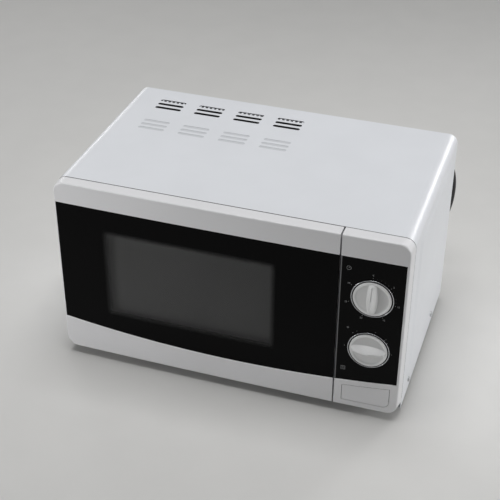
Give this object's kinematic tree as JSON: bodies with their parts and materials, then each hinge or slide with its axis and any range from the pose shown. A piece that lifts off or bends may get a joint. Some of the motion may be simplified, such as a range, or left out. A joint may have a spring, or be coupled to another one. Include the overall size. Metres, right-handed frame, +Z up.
{
  "type": "microwave oven",
  "caption": "Compact countertop microwave oven with white steel case, glossy black front, left-hinged push-button door, timer and power dials and glass turntable.",
  "frame": {"origin": "on the floor under the middle of the case, door and dials, without the mains lead", "axes": "+Z up, +X to the viewer's right when facing the door, the door faces -Y"},
  "size_m": [0.4436, 0.4087, 0.258],
  "materials": {
    "case_white": "smooth satin white powder coat",
    "front_white": "smooth semi-gloss white moulding",
    "screen_black": "glossy black tinted sheet, lightly see-through at the window",
    "fascia_black": "glossy black with white dial marks",
    "ring_chrome": "bright plated ring",
    "zinc_steel": "bright galvanised sheet",
    "oven_paint": "pale grey oven enamel",
    "dark_plastic": "dark grey moulding with a fine grain",
    "pale_plastic": "natural off-white engineering plastic",
    "rubber_black": "black rubber",
    "clear_film": "clear sheet",
    "plate_glass": "clear moulded glass",
    "mica": "pressed mica sheet",
    "copper_wire": "enamelled copper winding",
    "iron_core": "varnished lamination stack",
    "alloy": "plain aluminium",
    "spring_steel": "drawn spring wire",
    "lamp_glass": "clear lamp glass",
    "pin_brass": "nickel plated pin"
  },
  "bodies": {
    "oven": {"cabinet": "case_white", "cabinet_screws": "zinc_steel", "base_plate": "zinc_steel", "feet": "rubber_black", "rear_panel": "zinc_steel", "front_plate": "oven_paint", "cavity": "oven_paint", "upper_hinge": "zinc_steel", "lower_hinge": "zinc_steel", "latch_board": "pale_plastic", "interlock_switches": "dark_plastic", "control_panel": "front_white", "control_fascia": "fascia_black", "timer_ring": "ring_chrome", "power_ring": "ring_chrome", "timer_unit": "zinc_steel", "timer_bell": "alloy", "power_selector": "pale_plastic", "button_spring": "spring_steel", "turntable_motor": "zinc_steel", "waveguide": "zinc_steel", "waveguide_cover": "mica", "magnetron": "alloy", "transformer_core": "iron_core", "transformer_coils": "copper_wire", "capacitor": "alloy", "fan_housing": "dark_plastic", "fan_motor": "iron_core", "lamp_holder": "zinc_steel", "lamp_bulb": "lamp_glass", "filter_board": "pale_plastic", "cord_gland": "rubber_black", "cord_lead": "rubber_black", "cord_coil": "rubber_black", "cord_tie": "dark_plastic", "plug_body": "rubber_black", "plug_pins": "pin_brass"},
    "door": {"door_frame": "front_white", "door_screen": "screen_black", "door_choke": "zinc_steel", "door_mesh": "zinc_steel", "door_cover": "dark_plastic", "door_film": "clear_film", "latch_spring": "spring_steel"},
    "latch": {"door_latch": "dark_plastic"},
    "button": {"door_button": "front_white"},
    "lever": {"release_lever": "pale_plastic"},
    "timer_dial": {"timer_knob": "front_white", "timer_shaft": "alloy"},
    "power_dial": {"power_knob": "front_white", "power_shaft": "alloy"},
    "turntable": {"glass_plate": "plate_glass", "drive_coupler": "pale_plastic", "turntable_shaft": "alloy"},
    "rollers": {"roller_ring": "pale_plastic"},
    "wheel_1": {"roller_wheel_1": "pale_plastic"},
    "wheel_2": {"roller_wheel_2": "pale_plastic"},
    "wheel_3": {"roller_wheel_3": "pale_plastic"},
    "fan": {"fan_blade": "dark_plastic"}
  },
  "joints": [
    {"name": "door_hinge", "type": "hinge", "parent": "oven", "child": "door", "pos_m": [-0.212, -0.12535, 0.135], "axis": [0, 0, -1], "range_deg": [0, 100]},
    {"name": "button_push", "type": "slide", "parent": "oven", "child": "button", "axis": [0, 1, 0], "range_m": [0, 0.006], "stiffness_N_per_m": 300, "springref_m": -0.004, "deforming": ["button_spring"]},
    {"name": "lever_turn", "type": "hinge", "parent": "oven", "child": "lever", "pos_m": [0.12, -0.10776, 0.064], "axis": [1, 0, 0], "range_deg": [0, 11.37]},
    {"name": "latch_lift", "type": "slide", "parent": "door", "child": "latch", "axis": [0, 0, 1], "range_m": [0, 0.00266], "deforming": ["latch_spring"]},
    {"name": "timer_turn", "type": "hinge", "parent": "oven", "child": "timer_dial", "pos_m": [0.178, -0.13204, 0.178], "axis": [0, 1, 0], "range_deg": [0, 300]},
    {"name": "power_turn", "type": "hinge", "parent": "oven", "child": "power_dial", "pos_m": [0.178, -0.13204, 0.1035], "axis": [0, 1, 0], "range_deg": [-180, 0]},
    {"name": "turntable_spin", "type": "hinge", "parent": "oven", "child": "turntable", "pos_m": [-0.048, 0.00945, 0.053], "axis": [0, 0, 1], "continuous": true},
    {"name": "rollers_spin", "type": "hinge", "parent": "oven", "child": "rollers", "pos_m": [-0.048, 0.00945, 0.0445], "axis": [0, 0, 1], "continuous": true},
    {"name": "fan_spin", "type": "hinge", "parent": "oven", "child": "fan", "pos_m": [0.16, 0.11364, 0.12], "axis": [0, 1, 0], "continuous": true},
    {"name": "wheel_1_roll", "type": "hinge", "parent": "rollers", "child": "wheel_1", "pos_m": [-0.048, 0.09745, 0.0445], "axis": [0, 1, 0], "continuous": true},
    {"name": "wheel_2_roll", "type": "hinge", "parent": "rollers", "child": "wheel_2", "pos_m": [-0.12421, -0.03456, 0.0445], "axis": [-0.866, -0.5, 0], "continuous": true},
    {"name": "wheel_3_roll", "type": "hinge", "parent": "rollers", "child": "wheel_3", "pos_m": [0.02821, -0.03456, 0.0445], "axis": [0.866, -0.5, 0], "continuous": true}
  ],
  "couplings": [
    {"joint": "lever_turn", "follows": "button_push", "rad_per_m": 32.787},
    {"joint": "latch_lift", "follows": "button_push", "ratio": 0.42623},
    {"joint": "rollers_spin", "follows": "turntable_spin", "ratio": 0.5},
    {"joint": "wheel_1_roll", "follows": "turntable_spin", "ratio": -5.1765},
    {"joint": "wheel_2_roll", "follows": "turntable_spin", "ratio": -5.1765},
    {"joint": "wheel_3_roll", "follows": "turntable_spin", "ratio": -5.1765}
  ]
}
